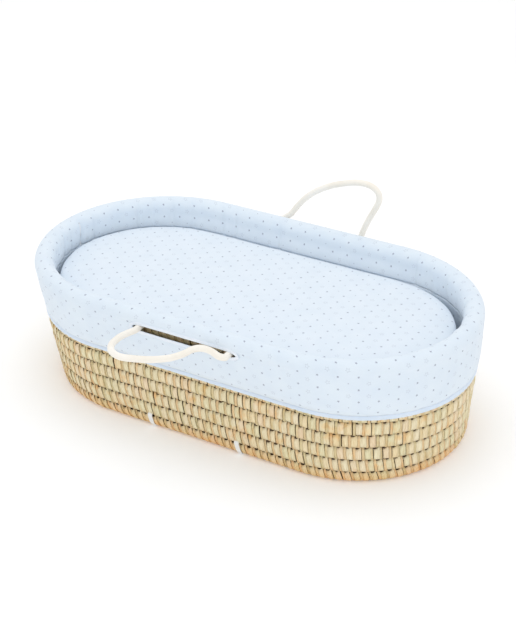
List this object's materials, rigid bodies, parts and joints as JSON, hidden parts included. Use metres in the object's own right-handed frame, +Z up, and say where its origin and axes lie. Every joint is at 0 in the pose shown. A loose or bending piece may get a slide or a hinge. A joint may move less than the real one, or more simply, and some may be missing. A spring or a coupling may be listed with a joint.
{
  "type": "moses basket",
  "caption": "Long oval baby basket of plaited palm leaf with a padded cotton liner folded over the rim, a mattress and two looped carrying handles.",
  "frame": {"origin": "the middle of the flat underside, on the ground, halfway between the ends of the padded rim and on the basket's long axis", "axes": "+X along the basket towards its foot end, -Y towards the side of the lowered front handle, +Z up"},
  "size_m": [0.8398, 0.6038, 0.3383],
  "materials": {
    "palm_leaf": "dry plaited palm leaf, matt with a faint waxy sheen",
    "handle_strap": "white coated strap, satin",
    "printed_cotton": "pale blue cotton with a small grey star print",
    "cotton_binding": "plain pale blue cotton, pressed and stitched",
    "mattress_cotton": "pale blue cotton with a small grey star print",
    "plain_cotton": "plain white cotton",
    "elastic": "white woven elastic",
    "wadding": "white polyester wadding",
    "foam": "soft polyurethane foam",
    "handle_cover": "smooth off-white coated leather, satin",
    "rope_core": "twisted cotton rope"
  },
  "bodies": {
    "basket": {"palm_base": "palm_leaf", "palm_course_1": "palm_leaf", "palm_course_2": "palm_leaf", "palm_course_3": "palm_leaf", "palm_course_4": "palm_leaf", "palm_course_5": "palm_leaf", "palm_course_6": "palm_leaf", "palm_course_7": "palm_leaf", "palm_course_8": "palm_leaf", "palm_course_9": "palm_leaf", "palm_rim_cord": "palm_leaf", "base_strap_head": "handle_strap", "base_strap_foot": "handle_strap", "strap_front_head": "handle_strap", "strap_front_foot": "handle_strap", "strap_back_head": "handle_strap", "strap_back_foot": "handle_strap", "side_wadding": "wadding", "rim_wadding": "wadding", "liner_side": "printed_cotton", "liner_floor": "printed_cotton", "liner_rim_roll": "printed_cotton", "skirt_upper": "printed_cotton", "skirt_lower": "printed_cotton", "hem_channel": "cotton_binding", "hem_elastic": "elastic", "slot_binding_front": "cotton_binding", "slot_binding_back": "cotton_binding"},
    "support_pad": {"support_pad_foam": "foam", "support_pad_cover": "plain_cotton"},
    "mattress": {"mattress_core": "foam", "mattress_cover": "mattress_cotton"},
    "front_handle": {"front_handle_cover": "handle_cover", "front_handle_core": "rope_core"},
    "back_handle": {"back_handle_cover": "handle_cover", "back_handle_core": "rope_core"}
  },
  "joints": [
    {"name": "front_handle_swing", "type": "hinge", "parent": "basket", "child": "front_handle", "pos_m": [0, -0.244, 0.213], "axis": [-1, 0, 0], "range_deg": [-80, 70]},
    {"name": "back_handle_swing", "type": "hinge", "parent": "basket", "child": "back_handle", "pos_m": [0, 0.244, 0.213], "axis": [1, 0, 0], "range_deg": [-160, 0]},
    {"name": "support_pad_lift", "type": "slide", "parent": "basket", "child": "support_pad", "axis": [0, 0, 1], "range_m": [0, 0.25]},
    {"name": "mattress_lift", "type": "slide", "parent": "support_pad", "child": "mattress", "axis": [0, 0, 1], "range_m": [0, 0.2]}
  ]
}
